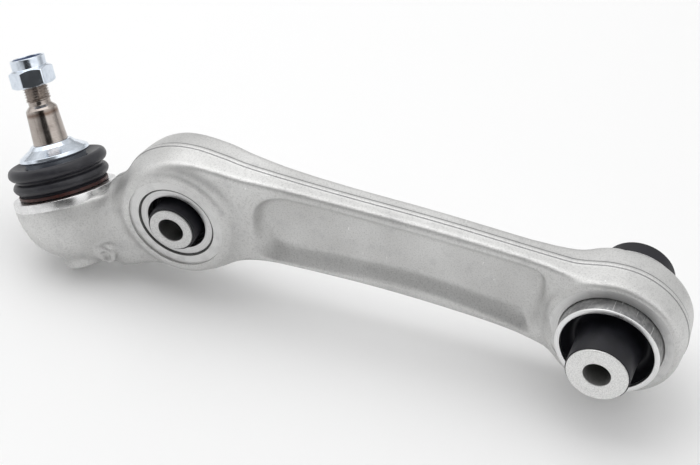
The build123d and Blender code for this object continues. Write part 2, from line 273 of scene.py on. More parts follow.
def axis_reach(material, centre, keep):
    """The distance from an axis through centre. keep is 0 along that axis and 1 across it."""
    kind = "ShaderNodeVectorMath"
    away = add_node(material, kind, {0: own_position(material), 1: centre}, operation="SUBTRACT")
    flat = add_node(material, kind, {0: away.outputs[0], 1: keep}, operation="MULTIPLY")
    return add_node(material, kind, {0: flat.outputs[0]}, operation="LENGTH").outputs["Value"]


def height_along(material, axis="Z"):
    """The piece's own coordinate along one axis."""
    return add_node(material, "ShaderNodeSeparateXYZ", {"Vector": own_position(material)}).outputs[axis]


def turned_lines(material, source, size, detail=4):
    """Lines left by a cutting tool: noise that changes only with the source."""
    scaled = arithmetic(material, "MULTIPLY", source, 1 / (size * MM))
    return add_node(material, "ShaderNodeTexNoise", {"W": scaled, "Scale": 1.0, "Detail": detail},
                    noise_dimensions="1D").outputs["Fac"]


def ramp(material, source, stops):
    """Turns a number into a colour or a grey through (position, value) stops."""
    node = add_node(material, "ShaderNodeValToRGB", {"Fac": source})
    elements = node.color_ramp.elements
    while len(elements) < len(stops):
        elements.new(1.0)
    for element, (position, value) in zip(elements, stops):
        element.position = position
        element.color = (*value, 1) if isinstance(value, tuple) else (value, value, value, 1)
    return node.outputs["Color"]


def mixed(material, factor, first, second, blend="MIX"):
    """Mixes two colours."""
    node = add_node(material, "ShaderNodeMix", {}, data_type="RGBA", blend_type=blend)
    for index, value in ((0, factor), (6, first), (7, second)):
        if isinstance(value, bpy.types.NodeSocket):
            material.node_tree.links.new(value, node.inputs[index])
        elif index == 0:
            node.inputs[index].default_value = value
        else:
            node.inputs[index].default_value = (*value, 1)
    return node.outputs[2]


def add_bumps(material, *layers):
    """Stacks bump layers of (height source, depth in millimetres)."""
    normal = None
    for source, depth in layers:
        inputs = {"Height": source, "Distance": depth * MM, "Strength": 1.0}
        if normal is not None:
            inputs["Normal"] = normal
        normal = add_node(material, "ShaderNodeBump", inputs).outputs["Normal"]
    feed(material, "Normal", normal)


# ---------------- materials
def forged_aluminium():
    """Shot-blasted forging: matte and grained, with faint clouds, bright dings and a dark flash line.

    The ring just outside the damper shell, the bore's chamfer, is painted near black: painted shade in the
    gap round the pressed-in shell, with some soot."""
    material = new_material("forged_aluminium", (0.64, 0.64, 0.63), 0.9, 0.5)
    clouds = noise(material, 38, 4)
    tone = ramp(material, clouds, [(0.3, (0.6, 0.598, 0.59)), (0.7, (0.72, 0.72, 0.712))])
    speckle = noise(material, 0.9, 3, rough=0.7)
    grain = ramp(material, speckle, [(0.3, 0.8), (0.5, 0.98), (0.72, 1.0)])
    tone = mixed(material, 1.0, tone, grain, "MULTIPLY")
    smudges = ramp(material, noise(material, 9, 5, offset=0.3), [(0.56, 0.0), (0.74, 1.0)])
    tone = mixed(material, arithmetic(material, "MULTIPLY", smudges, 0.35), tone, (0.44, 0.44, 0.448))
    dings = ramp(material, noise(material, 2.6, 3, (1, 1, 0.45), offset=0.7), [(0.73, 0.0), (0.77, 1.0)])
    tone = mixed(material, arithmetic(material, "MULTIPLY", dings, 0.6), tone, (0.92, 0.92, 0.91))
    across = arithmetic(material, "ABSOLUTE", height_along(material, "Y"))
    flash = arithmetic(material, "ABSOLUTE", arithmetic(material, "SUBTRACT", across, flash_half * MM))
    flash = arithmetic(material, "LESS_THAN", flash, 0.4 * MM)
    tone = mixed(material, arithmetic(material, "MULTIPLY", flash, 0.7), tone, (0.14, 0.14, 0.146))
    # painted shade, with some soot: the bore's chamfer in the gap round the damper shell is painted near
    # black
    gap_reach = axis_reach(material, damper_centre, (1, 0, 1))
    gap = arithmetic(material, "LESS_THAN", gap_reach, (damper_bore + 1.1) * MM)
    tone = mixed(material, arithmetic(material, "MULTIPLY", gap, 0.85), tone, (0.03, 0.03, 0.03))
    feed(material, "Base Color", tone)
    matte = ramp(material, speckle, [(0.3, 0.62), (0.7, 0.44)])
    feed(material, "Roughness", mixed(material, dings, matte, (0.3, 0.3, 0.3)))
    add_bumps(material, (noise(material, 7, 4), 0.1), (noise(material, 1.3, 4, rough=0.65), 0.07),
              (noise(material, 0.45, 2), 0.025), (dings, 0.02))
    return material


def machined_aluminium(name, centre, keep, line_size=0.35):
    """A face or band cut on a machine: brighter, with fine lines round an axis."""
    material = new_material(name, (0.7, 0.7, 0.7), 1.0, 0.3)
    reach = axis_reach(material, centre, keep)
    lines = turned_lines(material, arithmetic(material, "ADD", reach, 0.01), line_size)
    wear = noise(material, 5, 4)
    tone = ramp(material, lines, [(0.3, (0.6, 0.6, 0.6)), (0.7, (0.74, 0.74, 0.73))])
    stain = ramp(material, wear, [(0.5, 0.0), (0.75, 0.6)])
    feed(material, "Base Color", mixed(material, stain, tone, (0.52, 0.52, 0.52)))
    feed(material, "Roughness", ramp(material, wear, [(0.3, 0.42), (0.7, 0.52)]))
    add_bumps(material, (lines, 0.02), (noise(material, 0.5, 3), 0.008))
    return material


def turned_metal(name, place, colour, dark, roughness, line_size, line_depth):
    """Turned or drawn metal, with lines round the place's axis, and light stains."""
    material = new_material(name, colour, 1.0, roughness, place)
    reach = axis_reach(material, (0, 0, 0), (1, 1, 0))
    along = arithmetic(material, "ADD", reach, height_along(material))
    lines = turned_lines(material, along, line_size)
    stain = ramp(material, noise(material, 6, 5), [(0.42, 0.0), (0.75, 1.0)])
    tone = mixed(material, ramp(material, lines, [(0.3, 0.3), (0.65, 0.0)]), colour, dark)
    tone = mixed(material, arithmetic(material, "MULTIPLY", stain, 0.45), tone, dark)
    feed(material, "Base Color", tone)
    feed(material, "Roughness", ramp(material, stain, [(0.0, roughness), (1.0, roughness + 0.16)]))
    add_bumps(material, (lines, line_depth), (noise(material, 0.6, 3), 0.004))
    return material


def stud_steel():
    """Brown-grey ground steel, oily-looking and darker in clouds, with a rust-brown ring below the shank's
    top.
    """
    material = new_material("stud_steel", (0.4, 0.36, 0.33), 1.0, 0.26, ball_place)
    height = height_along(material)
    reach = axis_reach(material, (0, 0, 0), (1, 1, 0))
    lines = turned_lines(material, arithmetic(material, "ADD", reach, height), 0.22)
    tone = ramp(material, lines, [(0.3, (0.33, 0.29, 0.265)), (0.7, (0.5, 0.455, 0.42))])
    cloud = ramp(material, noise(material, 5, 4), [(0.45, 0.0), (0.75, 0.6)])
    tone = mixed(material, cloud, tone, (0.25, 0.21, 0.19))
    wander = arithmetic(material, "MULTIPLY", noise(material, 3, 3), 1.6 * MM)
    level = arithmetic(material, "ADD", height, wander)
    ring = arithmetic(material, "ABSOLUTE", arithmetic(material, "SUBTRACT", level, 57.6 * MM))
    ring = arithmetic(material, "SUBTRACT", 1.0, arithmetic(material, "DIVIDE", ring, 1.9 * MM), clamp=True)
    tone = mixed(material, arithmetic(material, "MULTIPLY", ring, 0.8), tone, (0.13, 0.075, 0.05))
    feed(material, "Base Color", tone)
    feed(material, "Roughness", ramp(material, noise(material, 4, 3), [(0.3, 0.13), (0.75, 0.26)]))
    add_bumps(material, (lines, 0.006), (noise(material, 0.5, 3), 0.003))
    return material


def zinc_plate():
    """Bright blue-white zinc, with slightly duller patches."""
    material = new_material("zinc_plate", (0.72, 0.78, 0.85), 1.0, 0.14, ball_place)
    patches = noise(material, 4, 4)
    lines = turned_lines(material, arithmetic(material, "ADD", axis_reach(material, (0, 0, 0), (1, 1, 0)),
                                              height_along(material)), 0.4)
    tone = ramp(material, patches, [(0.35, (0.74, 0.8, 0.88)), (0.7, (0.6, 0.66, 0.74))])
    feed(material, "Base Color", tone)
    feed(material, "Roughness", ramp(material, patches, [(0.35, 0.1), (0.75, 0.26)]))
    add_bumps(material, (lines, 0.006), (noise(material, 1.4, 4), 0.008))
    return material


def moulded_rubber(name, colour, dusty, roughness, grain):
    """Moulded rubber with a fine grain and a trace of dust."""
    material = new_material(name, colour, 0.0, roughness, Specular_IOR_Level=0.4)
    dust = ramp(material, noise(material, 8, 5, rough=0.6), [(0.45, 0.0), (0.8, 1.0)])
    specks = ramp(material, noise(material, 0.8, 2, offset=0.4), [(0.7, 0.0), (0.78, 0.6)])
    tone = mixed(material, arithmetic(material, "MULTIPLY", dust, 0.55), colour, dusty)
    feed(material, "Base Color", mixed(material, specks, tone, tuple(2.2 * part for part in dusty)))
    feed(material, "Roughness", ramp(material, dust, [(0.0, roughness), (1.0, roughness + 0.18)]))
    add_bumps(material, (noise(material, 3, 3), 0.03), (noise(material, 0.35, 3), grain))
    return material


def shell_steel(name, place, half, outside, rim_tone):
    """A pressed steel shell: a dull side with a few bright scratches along it, and a bright turned rim."""
    material = new_material(name, (0.6, 0.6, 0.6), 1.0, 0.32, place)
    reach = axis_reach(material, (0, 0, 0), (1, 1, 0))
    height = height_along(material)
    lines = turned_lines(material, arithmetic(material, "ADD", reach, height), 0.4)
    bright = ramp(material, lines, [(0.3, 0.8 * rim_tone), (0.7, rim_tone)])
    dull = ramp(material, noise(material, 2.5, 4), [(0.35, (0.24, 0.24, 0.245)), (0.7, (0.4, 0.4, 0.4))])
    scratches = ramp(material, noise(material, 1.1, 3, (1, 1, 0.08)), [(0.63, 0.0), (0.68, 1.0)])
    side = mixed(material, scratches, dull, (0.72, 0.72, 0.72))
    end = arithmetic(material, "GREATER_THAN", arithmetic(material, "ABSOLUTE", height), (half - 0.75) * MM)
    inside = arithmetic(material, "LESS_THAN", reach, (outside - 0.3) * MM)
    feed(material, "Base Color", mixed(material, arithmetic(material, "MAXIMUM", end, inside), side, bright))
    feed(material, "Roughness", ramp(material, noise(material, 3, 3), [(0.3, 0.26), (0.7, 0.42)]))
    add_bumps(material, (lines, 0.01), (scratches, 0.02), (noise(material, 0.6, 3), 0.006))
    return material


def sawn_end(name, place, colour, dark, half, roughness):
    """A tube with rough grained end faces, and a dull bore painted dark as painted shade, the more so deeper
    in.
    """
    material = new_material(name, colour, 1.0, roughness, place)
    reach = axis_reach(material, (0, 0, 0), (1, 1, 0))
    grain = noise(material, 0.7, 4, rough=0.7)
    tone = mixed(material, ramp(material, grain, [(0.32, 0.75), (0.6, 0.0)]), colour, dark)
    arcs = turned_lines(material, reach, 0.5)
    tone = mixed(material, ramp(material, arcs, [(0.3, 0.25), (0.6, 0.0)]), tone, dark)
    # painted shade: the bore is painted towards dark grey, little at its mouth and more the deeper it goes
    bore = arithmetic(material, "LESS_THAN", reach, (bolt_hole_radius + 0.15) * MM)
    from_middle = arithmetic(material, "ABSOLUTE", height_along(material))
    depth = arithmetic(material, "SUBTRACT", half * MM, from_middle)
    deep = arithmetic(material, "DIVIDE", depth, 9 * MM, clamp=True)
    shade = ramp(material, deep, [(0.0, 0.3), (1.0, 0.7)])
    tone = mixed(material, arithmetic(material, "MULTIPLY", bore, shade), tone, (0.2, 0.2, 0.195))
    feed(material, "Base Color", tone)
    feed(material, "Roughness", ramp(material, grain, [(0.3, roughness + 0.12), (0.7, roughness - 0.04)]))
    add_bumps(material, (grain, 0.06), (arcs, 0.02))
    return material


def moulded_plastic(name, colour, roughness):
    """Plain moulded plastic with a faint orange-peel surface."""
    material = new_material(name, colour, 0.0, roughness)
    darker = tuple(0.8 * part for part in colour)
    feed(material, "Base Color", mixed(material, noise(material, 5, 3), colour, darker))
    add_bumps(material, (noise(material, 1.5, 3), 0.02))
    return material


def brown_coating():
    """A thin brown-red coat on a steel ring, darker in patches and worn at a few spots."""
    material = new_material("brown_ring_steel", (0.05, 0.014, 0.011), 0.2, 0.42)
    patches = noise(material, 3, 4)
    tone = ramp(material, patches, [(0.35, (0.07, 0.018, 0.014)), (0.7, (0.028, 0.01, 0.009))])
    worn = ramp(material, noise(material, 1.2, 3, offset=0.2), [(0.68, 0.0), (0.74, 0.7)])
    feed(material, "Base Color", mixed(material, worn, tone, (0.2, 0.13, 0.11)))
    feed(material, "Roughness", ramp(material, patches, [(0.3, 0.34), (0.7, 0.5)]))
    add_bumps(material, (noise(material, 0.6, 3), 0.012))
    return material


# ---------------- distance fields for the forging
def smooth_min(a, b, blend):
    """The union of two fields, with a fillet of about that size where they meet."""
    overlap = np.maximum(blend - np.abs(a - b), 0) / blend
    return np.minimum(a, b) - overlap * overlap * blend / 4


def smooth_max(a, b, blend):
    """The intersection of two fields, with a rounding of about that size."""
    return -smooth_min(-a, -b, blend)


def polygon_distance(u, v, outline):
    """Signed distance in a plane from points (u, v) to a closed outline, negative inside."""
    best = np.full(u.shape, 1e9)
    inside = np.zeros(u.shape, bool)
    for (u0, v0), (u1, v1) in zip(outline, np.roll(outline, -1, axis=0)):
        du, dv = u1 - u0, v1 - v0
        part = np.clip(((u - u0) * du + (v - v0) * dv) / (du * du + dv * dv + 1e-12), 0, 1)
        best = np.minimum(best, (u - u0 - part * du) ** 2 + (v - v0 - part * dv) ** 2)
        crosses = (v0 > v) != (v1 > v)
        slope = du / (dv if abs(dv) > 1e-12 else 1e-12)
        inside ^= crosses & (u < u0 + (v - v0) * slope)
    return np.where(inside, -1, 1) * np.sqrt(best)


def surface_nets(field, low, step):
    """Vertices and quads of the field's zero surface."""
    nx, ny, nz = field.shape
    offsets = [(i, j, k) for i in (0, 1) for j in (0, 1) for k in (0, 1)]
    negative = field < 0
    count = np.zeros((nx - 1, ny - 1, nz - 1), np.int8)
    for i, j, k in offsets:
        count += negative[i:nx - 1 + i, j:ny - 1 + j, k:nz - 1 + k]
    cells = np.argwhere((count > 0) & (count < 8))
    values = np.stack([field[cells[:, 0] + i, cells[:, 1] + j, cells[:, 2] + k] for i, j, k in offsets], 1)
    total = np.zeros((len(cells), 3))
    crossings = np.zeros(len(cells))
    for a, first in enumerate(offsets):
        for b, second in enumerate(offsets):
            if b <= a or sum(abs(p - q) for p, q in zip(first, second)) != 1:
                continue
            crossed = (values[:, a] < 0) != (values[:, b] < 0)
            gap = values[:, a] - values[:, b]
            part = np.where(crossed, values[:, a] / np.where(gap == 0, 1, gap), 0)
            point = np.array(first) + part[:, None] * (np.array(second) - np.array(first))
            total += np.where(crossed[:, None], point, 0)
            crossings += crossed
    vertices = low + (cells + total / crossings[:, None]) * step
    number = np.full((nx - 1, ny - 1, nz - 1), -1, np.int64)
    number[cells[:, 0], cells[:, 1], cells[:, 2]] = np.arange(len(cells))
    quads = []
    for axis in range(3):
        u, v = (axis + 1) % 3, (axis + 2) % 3
        here = [slice(0, n) for n in field.shape]
        there = list(here)
        here[axis] = slice(0, field.shape[axis] - 1)
        there[axis] = slice(1, field.shape[axis])
        changed = negative[tuple(here)] != negative[tuple(there)]
        edges = np.argwhere(changed)
        edges = edges[(edges[:, u] > 0) & (edges[:, v] > 0)]
        edges = edges[(edges[:, u] < field.shape[u] - 1) & (edges[:, v] < field.shape[v] - 1)]
        outward = negative[tuple(edges.T)]
        ring = []
        for back_u, back_v in ((1, 1), (0, 1), (0, 0), (1, 0)):
            cell = edges.copy()
            cell[:, u] -= back_u
            cell[:, v] -= back_v
            ring.append(number[tuple(cell.T)])
        quad = np.stack(ring, 1)
        quad[~outward] = quad[~outward][:, ::-1]
        quads.append(quad)
    return vertices, np.concatenate(quads)


def sampled(field, low, step, points):
    """The field's value and slope at points, from the eight grid values round each."""
    place = (points - low) / step
    cell = np.clip(np.floor(place).astype(int), 0, np.array(field.shape) - 2)
    part = place - cell
    value = np.zeros(len(points))
    slope = np.zeros((len(points), 3))
    for i in (0, 1):
        for j in (0, 1):
            for k in (0, 1):
                corner = field[cell[:, 0] + i, cell[:, 1] + j, cell[:, 2] + k]
                weights = [part[:, 0] if i else 1 - part[:, 0], part[:, 1] if j else 1 - part[:, 1],
                           part[:, 2] if k else 1 - part[:, 2]]
                signs = [1 if i else -1, 1 if j else -1, 1 if k else -1]
                value += corner * weights[0] * weights[1] * weights[2]
                slope[:, 0] += corner * signs[0] * weights[1] * weights[2]
                slope[:, 1] += corner * weights[0] * signs[1] * weights[2]
                slope[:, 2] += corner * weights[0] * weights[1] * signs[2]
    return value, slope / step


# ---------------- the forging
# side view (x, z) of the beam, over the damper eye and down to the inner eye
upper_edge = [(-279, 12), (-273.5, 23), (-265.5, 33), (-251, 42.6), (-236, 46.4), (-221, 45.6), (-203, 42.8),
              (-160, 40), (-100, 37.6), (-45, 33.8), (-25, 32.6), (-8, 32)]
lower_edge = [(-8, -33), (-24, -27.5), (-37, -22.6), (-60, -18), (-90, -15), (-125, -13), (-172, -12.4),
              (-200, -13.2), (-220, -20.2), (-240, -27), (-262, -31.6), (-281, -37)]
# plan view: half the width at each x
plan_x = [-310, -280, -262, -240, -222, -204, -190, -172, -140, -80, -52, -38, -26, -12, 40]
plan_half = [16, 15.8, 15.2, 14.8, 14.2, 12.4, 10.8, 9.8, 9.1, 8.8, 8.8, 9.8, 11.6, 12.6, 12.6]
pocket_mouth = [(-198.6, 14), (-196.6, 25.5), (-188.5, 32.3), (-172, 34.2), (-115, 32.4), (-62, 29.8),
                (-43, 27.6), (-38.2, 21), (-39.4, 5), (-41.2, -10), (-46.5, -15.6), (-60, -13), (-90, -7.8),
                (-115, -5.9), (-150, -7.2), (-182, -9), (-194.5, -3)]
web_half = 2.7
pocket_depth = 6.0
pad_radius = 10.5
# the middle of the boss's front face
boss_centre = (-285.6, -24.3, -25.2)
boss_radius = 5.6
dimple_radius = 3.2
dimple_lead = 0.8
inner_eye_radius = 36.7
damper_eye_radius = 37.8
damper_barrel_half = 15.4
raised_face_radius = 31.6
inner_milled_radius = 33.0
damper_milled_radius = 27.8
# forged thickness left for the mill on each face
mill_allowance = 0.1
flash_height = 0.45
grid_step = 0.9
grid_low = np.array([-354.0, -44.0, -60.0])
grid_high = np.array([42.0, 32.0, 54.0])


def flash_ridge(y):
    """How far the low flash ridge stands out where the two dies met."""
    return flash_height * np.exp(-(y / flash_half) ** 4)


def beam_field(x, y, side):
    """The beam and the damper eye's crown: the side view narrowed by the plan view."""
    half = np.interp(x, plan_x, plan_half)
    draft = 0.035 * np.abs(y)
    return smooth_max(side - flash_ridge(y) + draft, np.abs(y) - half, 3.4)


def eye_field(x, y, z, centre, radius, half, barrel, edge):
    """A barrelled eye about a Y axis."""
    reach = np.hypot(x - centre[0], z - centre[1])
    return smooth_max(reach - radius - flash_ridge(y) + barrel * y * y, np.abs(y) - half, edge)


def neck_field(x, y, z):
    """The neck, a rounded box that leans back and shrinks into the bowl."""
    start, length, full_lean = -268, 40, np.radians(18.6)
    along = np.clip((start - x) / length, 0, 1)
    lean = full_lean * along
    dy = y + 11 * along
    dz = z + 8 + 7 * along
    across = dy * np.cos(lean) - dz * np.sin(lean)
    up = dy * np.sin(lean) + dz * np.cos(lean)
    half_across = 11.2 + 7.6 * along
    half_up = 28.2 - 5.4 * along
    corner = 8 + 10 * along
    qx = np.abs(across) - half_across + corner
    qz = np.abs(up) - half_up + corner
    outside = np.hypot(np.maximum(qx, 0), np.maximum(qz, 0)) + np.minimum(np.maximum(qx, qz), 0) - corner
    return smooth_max(outside, np.abs(x + 290) - 20, 6)


def forging_field(x, y, z):
    """The whole forging as one distance field, with a fillet wherever two parts of it meet."""
    side_u, side_v = np.meshgrid(x[:, 0, 0], z[0, 0, :], indexing="ij")
    outline = np.vstack([curve_through(upper_edge), curve_through(lower_edge)])
    side = polygon_distance(side_u, side_v, outline)[:, None, :]
    body = beam_field(x, y, side)

    inner_eye = eye_field(x, y, z, (0, 0), inner_eye_radius, inner_eye_half + mill_allowance, 0.0045, 3.5)
    body = smooth_min(body, inner_eye, 7)
    damper = (damper_centre.x / MM, damper_centre.z / MM)
    damper_eye = eye_field(x, y, z, damper, damper_eye_radius, damper_barrel_half, 0.019, 6)
    body = smooth_min(body, damper_eye, 6)
    face_half = damper_eye_half + mill_allowance
    raised_face = eye_field(x, y, z, damper, raised_face_radius, face_half, 0, 3.5)
    body = smooth_min(body, raised_face, 8)
    body = smooth_min(body, neck_field(x, y, z), 8)

    # the bowl, turned about the stud's axis and looked up in a table of its half section
    local = [(x - ball_centre.x / MM), (y - ball_centre.y / MM), (z - ball_centre.z / MM)]
    height = sum(part * axis for part, axis in zip(local, stud_axis))
    reach = np.sqrt(np.maximum(sum(part * part for part in local) - height * height, 0))
    profile = curve_through([(0, -26.2), (11.5, -24.4), (22, -16.6), (28, -4), (29.9, rim_bottom)])
    profile = np.vstack([profile, [(0, rim_bottom)], [(-30, -10)]])
    table_step, table_low = 0.5, -80
    table_r = np.arange(0, 90, table_step)
    table_h = np.arange(table_low, 140, table_step)
    table = polygon_distance(*np.meshgrid(table_r, table_h, indexing="ij"), profile)
    row = np.clip(reach / table_step, 0, len(table_r) - 2)
    column = np.clip((height - table_low) / table_step, 0, len(table_h) - 2)
    i, j = row.astype(int), column.astype(int)
    s, t = row - i, column - j
    bowl = ((table[i, j] * (1 - s) + table[i + 1, j] * s) * (1 - t)
            + (table[i, j + 1] * (1 - s) + table[i + 1, j + 1] * s) * t)
    body = smooth_min(body, bowl, 7)

    # a forging pad under the bowl, and a small dimpled boss on the front of the neck
    pad = smooth_max(reach - pad_radius - 0.08 * (height + 33), np.abs(height + 26) - 6.7, 1.6)
    body = smooth_min(body, pad, 3)
    boss_x, boss_y, boss_z = boss_centre
    boss_reach = np.hypot(x - boss_x, z - boss_z)
    boss_half = 5
    boss = smooth_max(boss_reach - boss_radius, np.abs(y - boss_y - boss_half) - boss_half, 2.4)
    body = smooth_min(body, boss, 3.5)
    dimple = np.hypot(boss_reach, y - boss_y + dimple_lead) - dimple_radius
    body = smooth_max(body, -dimple, 0.6)

    # pockets, drafted, with a gentler slope on the lower wall
    mouth = polygon_distance(side_u, side_v, curve_through(pocket_mouth, closed=True))[:, None, :]
    depth = np.abs(y) - web_half
    slope = 0.45 + 0.85 * np.clip((12 - z) / 18, 0, 1)
    pocket = smooth_max(mouth + slope * (pocket_depth - depth), -depth, 4.5)
    body = smooth_max(body, -pocket, 1.6)

    # room for the boot above the rim
    boot_room = smooth_max(reach - 34, rim_bottom + 0.4 - height, 3)
    return smooth_max(body, -boot_room, 3)


def forging_mesh():
    """The forged skin: the zero surface of the field, with its vertices settled on it."""
    axes = [np.arange(low, high, grid_step) for low, high in zip(grid_low, grid_high)]
    x, y, z = axes[0][:, None, None], axes[1][None, :, None], axes[2][None, None, :]
    field = forging_field(x, y, z) + np.zeros((len(axes[0]), len(axes[1]), len(axes[2])))
    vertices, quads = surface_nets(field, grid_low, grid_step)
    for _ in range(3):
        value, slope = sampled(field, grid_low, grid_step, vertices)
        vertices -= slope * (value / np.maximum((slope**2).sum(1), 0.2))[:, None]
    mesh = bpy.data.meshes.new("arm_forging_skin")
    mesh.from_pydata((vertices * MM).tolist(), [], quads.tolist())
    mesh.update()
    return mesh


def cylinder_cutter(name, place, radius, low, high):
    """A closed cylinder for a boolean cut."""
    return lathe(name, [(0, low), (radius, low), (radius, high), (0, high)], place, 160, closed=False)


def chamfered_bore(name, place, radius, half, chamfer):
    """A cutter for a bore whose two mouths are chamfered."""
    outline = [(0, -half - 8), (radius + chamfer + 8, -half - 8), (radius, -half + chamfer),
               (radius, half - chamfer), (radius + chamfer + 8, half + 8), (0, half + 8)]
    return lathe(name, outline, place, 160, closed=False)


def cut(piece, cutters):
    """Cuts each closed cutter out of a piece, and removes the cutter."""
    for cutter in cutters:
        modifier = piece.modifiers.new("cut", "BOOLEAN")
        modifier.operation = "DIFFERENCE"
        modifier.solver = "EXACT"
        modifier.object = cutter
        bpy.context.view_layer.objects.active = piece
        bpy.ops.object.modifier_apply(modifier=modifier.name)
        bpy.data.objects.remove(cutter)


def build_forging():
    """The forging, with its machined faces and bores cut after the forged skin is made."""
    piece = object_from("arm_forging_skin", forging_mesh())
    mills = []
    faces = ((inner_place, inner_milled_radius, inner_eye_half),
             (damper_place, damper_milled_radius, damper_eye_half))
    for place, radius, half in faces:
        for span in ((half, half + 20), (-half - 20, -half)):
            mills.append(cylinder_cutter("mill", place, radius, *span))
    bores = [chamfered_bore("bore", inner_place, inner_bore, inner_eye_half, 0.6),
             chamfered_bore("bore", damper_place, damper_bore, damper_eye_half, 0.9),
             cylinder_cutter("bore", ball_place, 20.8, -2, 40)]
    cut(piece, mills + bores)
    return smooth(piece, 34)


def mark_milled_faces(piece):
    """Gives the milled faces their own materials: slot 1 at the inner eye, slot 2 at the damper eye."""
    mesh = piece.data
    count = len(mesh.polygons)
    centres = np.empty(count * 3)
    normals = np.empty(count * 3)
    mesh.polygons.foreach_get("center", centres)
    mesh.polygons.foreach_get("normal", normals)
    across = np.abs(centres.reshape(-1, 3)[:, 1])
    flat = np.abs(normals.reshape(-1, 3)[:, 1]) > 0.999
    index = np.zeros(count, np.int32)
    index[flat & (np.abs(across - inner_eye_half * MM) < 1e-5)] = 1
    index[flat & (np.abs(across - damper_eye_half * MM) < 1e-5)] = 2
    mesh.polygons.foreach_set("material_index", index)
    mesh.polygons.foreach_set("use_smooth", index == 0)


def finish_piece(piece, body, material, slot, *replaced):
    """Hands a finished piece to the frame: its body, its material and the CAD nodes it stands for."""
    if material is not None:
        piece.data.materials.append(material)
    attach(piece, body)
    if replaced:
        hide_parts(*replaced)


# ---------------- ball joint
def build_housing_rim():
    """The machined top of the ball housing: an outer rim, and a spigot whose lip holds the ring."""
    outline = rounded([(20.7, 2.0, 0), (rim_radius - 1.5, 2.0, 0), (rim_radius, rim_bottom - 0.5, 0),
                       (rim_radius, rim_top, 0.5), (spigot_radius + 0.6, rim_top, 0.3),
                       (spigot_radius, rim_top + 0.6, 0.3), (spigot_radius, spigot_top, 0.8),
                       (18.7, spigot_top, 0.4), (18.7, 13.45, 0.2), (20.7, 13.45, 0.2)])
    return lathe("housing_rim", outline, ball_place, 192)


def thread_relief(radius, height, turn):
    """Cuts a right-hand thread into the end of the stud, running out at both ends."""
    low, high = 64.6, 80.4
    phase = (height / thread_pitch - turn / (2 * np.pi)) % 1.0
    groove = np.clip(1.25 * (1 - np.abs(2 * phase - 1)) - 0.12, 0, 1)
    fade = np.clip((height - low) / 0.5, 0, 1) * np.clip((high - height) / 0.5, 0, 1)
    on_thread = (radius > 6.85) & (height > low - 0.2) & (height < high + 0.2)
    return np.where(on_thread, radius - 0.86 * groove * fade, radius)


def build_stud():
    """The ball, neck, shoulder, tapered shank and threaded end, turned as one piece."""
    ball = 15.98
    neck_turn = math.asin(8.0 / ball)
    sweep = np.linspace(0, math.pi - neck_turn, 40)
    ball_arc = [(ball * math.sin(angle), -ball * math.cos(angle)) for angle in sweep]
    shank = rounded([(8.0, 14.5, 0), (8.0, 24.0, 2), (11.0, 29.0, 0.4), (11.0, 33.0, 0.2), (9.8, 33.0, 0.2),
                     (9.8, 40.0, 0.3), (8.85, 59.0, 0.35), (7.95, 60.1, 0.4), (6.3, 61.6, 0.8),
                     (6.3, 63.8, 0.4), (thread_radius, 64.4, 0)], closed=False)
    thread = [(thread_radius, height) for height in np.arange(64.5, 80.2, 0.125)]
    tip = rounded([(thread_radius, 80.3, 0), (6.1, 81.0, 0.25), (0, 81.0, 0)], closed=False)
    outline = np.vstack([ball_arc, shank, thread, tip])
    return lathe("ball_stud_turned", outline, ball_place, 96, closed=False, relief=thread_relief)


def build_collar():
    """The plated dust collar: a sleeve for the boot's lip, a rim, and a cone up to the shank."""
    outline = rounded([(11.03, 25.6, 0.2), (17.5, 25.6, 0.3), (17.5, 31.2, 0.5), (19.7, 31.7, 0.25),
                       (20.0, 32.6, 0.4), (19.5, 34.2, 0.6), (18.0, 35.0, 1.2), (13.2, 37.7, 2.5),
                       (11.4, 39.7, 1.2), (9.86, 40.0, 0.3), (9.84, 33.03, 0.1), (11.03, 33.03, 0.1)])
    return lathe("dust_collar_turned", outline, ball_place, 192)


def nut_relief(radius, height, turn):
    """Limits the radius to the nut's hexagon, whose corners are slightly turned off."""
    from_flat = (turn % (math.pi / 3)) - math.pi / 6
    turned_off = 0.26
    hexagon = np.minimum(nut_flats / 2 / np.cos(from_flat), nut_flats / math.sqrt(3) - turned_off)
    return np.minimum(radius, hexagon)


def build_nut():
    """A hexagon nut with a round crown that holds the locking insert."""
    corner = nut_flats / math.sqrt(3) + 0.1
    washer_face = 10.8
    lower = [(10.6, nut_bottom), (washer_face, nut_bottom + 0.05)]
    for part in np.arange(1, 9) / 8:
        lower.append((washer_face + (corner - washer_face) * part, nut_bottom + 0.05 + 1.15 * part))
    upper_start = nut_hex_top - 1.7
    upper = [(corner - (corner - 10.3) * part, upper_start + 1.65 * part) for part in np.arange(11) / 10]
    # a little lower than the CAD nut's top, so that the crown stays inside it
    top = nut_top - 0.1
    crown = rounded([(10.1, nut_hex_top, 0), (9.8, nut_hex_top + 0.3, 0.3), (9.8, top, 0.7),
                     (8.5, top, 0.4), (8.5, 87.25, 0.1),
                     (8.85, 87.25, 0), (8.85, 83.95, 0), (7.1, 83.95, 0.1), (7.1, nut_bottom + 0.8, 0.1),
                     (7.9, nut_bottom, 0)], closed=False)
    outline = np.vstack([lower, upper, crown])
    place = ball_place @ Matrix.Rotation(math.radians(nut_turn), 4, "Z")
    return lathe("stud_nut_milled", outline, place, 240, relief=nut_relief)


